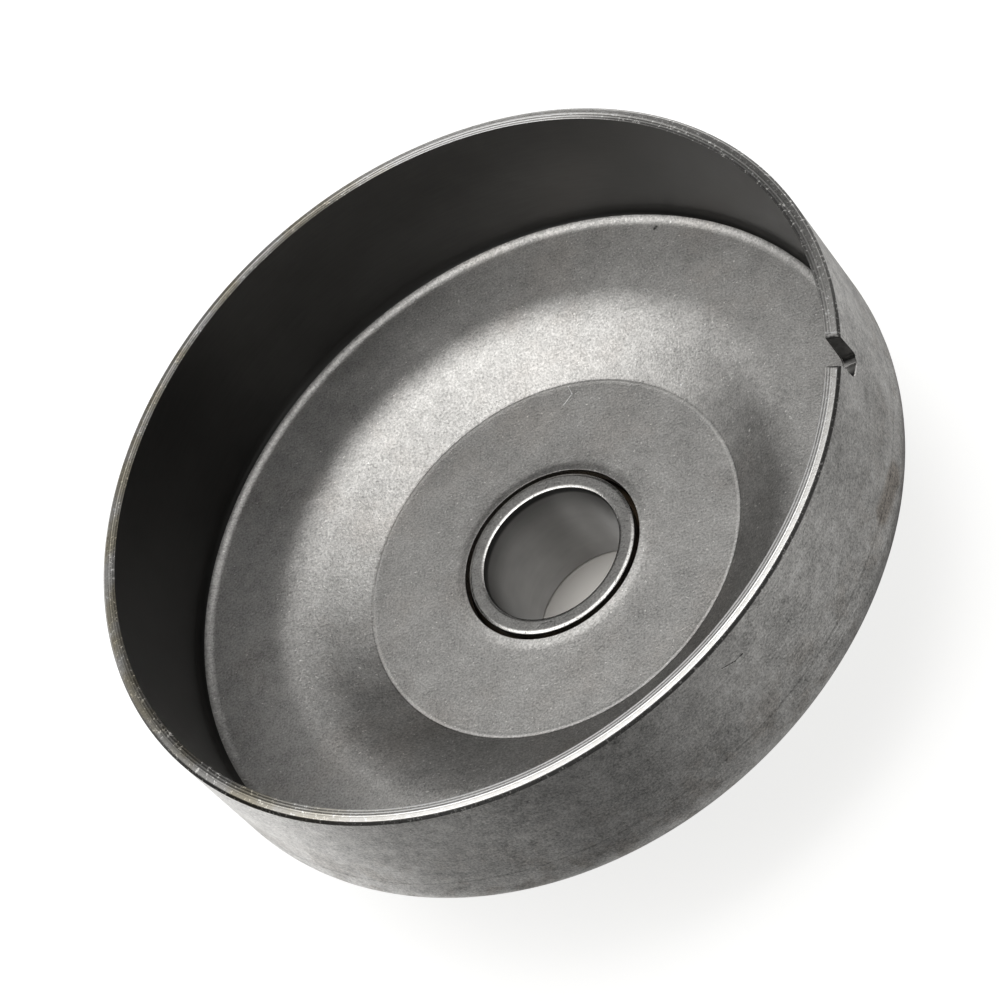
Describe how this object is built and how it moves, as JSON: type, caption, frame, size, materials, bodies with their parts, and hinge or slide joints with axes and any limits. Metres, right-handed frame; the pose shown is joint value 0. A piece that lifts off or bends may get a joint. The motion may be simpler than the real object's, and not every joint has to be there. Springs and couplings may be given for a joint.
{
  "type": "chainsaw clutch drum",
  "caption": "Thin-walled turned steel clutch drum with a notched rim, a stepped floor and a spur chain sprocket joined to its hub.",
  "frame": {"origin": "centre of the sprocket's outer end face, the lowest point of the part", "axes": "+Z along the drum's axis, out of the mouth; +X towards the notch in the rim"},
  "size_m": [0.0696, 0.0696, 0.0287],
  "materials": {
    "turned_steel": "satin, finely grained, with turned lines on the rim",
    "sintered_steel": "satin, slightly darker than the shell, with a ground bore",
    "braze_metal": "dull as-brazed"
  },
  "bodies": {
    "root": {"drum_shell": "turned_steel", "spur_sprocket": "sintered_steel", "braze_ring": "braze_metal"}
  },
  "joints": []
}
